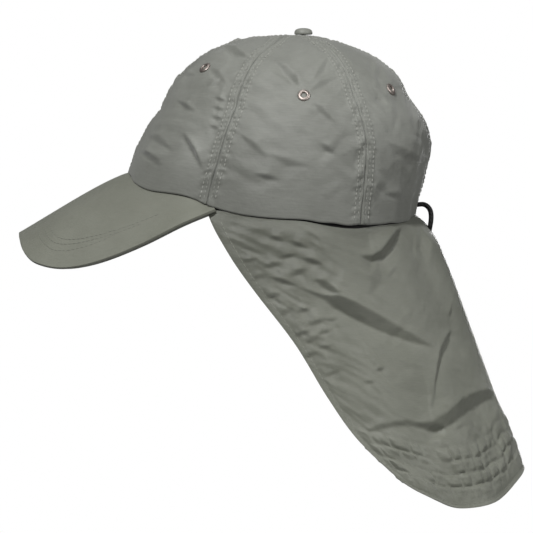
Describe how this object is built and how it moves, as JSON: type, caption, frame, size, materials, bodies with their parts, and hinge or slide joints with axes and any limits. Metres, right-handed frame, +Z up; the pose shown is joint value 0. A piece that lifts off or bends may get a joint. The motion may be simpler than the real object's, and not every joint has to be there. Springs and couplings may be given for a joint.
{
  "type": "legionnaire cap",
  "caption": "Soft six-panel sun cap with an arched peak, vent eyelets, a top button and a long neck flap that hangs behind; a short elastic loop leaves the rear hem.",
  "frame": {"origin": "middle of the head opening, level with the crown's hem at the temples", "axes": "+Z up through the crown, -X towards the peak, -Y towards the wearer's left"},
  "size_m": [0.3292, 0.1654, 0.311],
  "materials": {
    "crown_nylon": "sage grey nylon with a soft sheen",
    "peak_nylon": "sage grey nylon over a stiff sheet, matt",
    "flap_nylon": "thin crinkled sage grey nylon with a soft sheen",
    "band_cloth": "black woven tape",
    "elastic": "black braided elastic cord",
    "eyelet_metal": "aged pinkish copper plating"
  },
  "bodies": {
    "root": {"crown_panel_front_left": "crown_nylon", "crown_panel_side_left": "crown_nylon", "crown_panel_rear_left": "crown_nylon", "crown_panel_rear_right": "crown_nylon", "crown_panel_side_right": "crown_nylon", "crown_panel_front_right": "crown_nylon", "eyelet_front_left": "eyelet_metal", "eyelet_side_left": "eyelet_metal", "eyelet_rear_left": "eyelet_metal", "eyelet_rear_right": "eyelet_metal", "eyelet_side_right": "eyelet_metal", "eyelet_front_right": "eyelet_metal", "top_button": "crown_nylon", "peak": "peak_nylon", "sweatband": "band_cloth", "neck_flap": "flap_nylon", "elastic_cord": "elastic"}
  },
  "joints": []
}
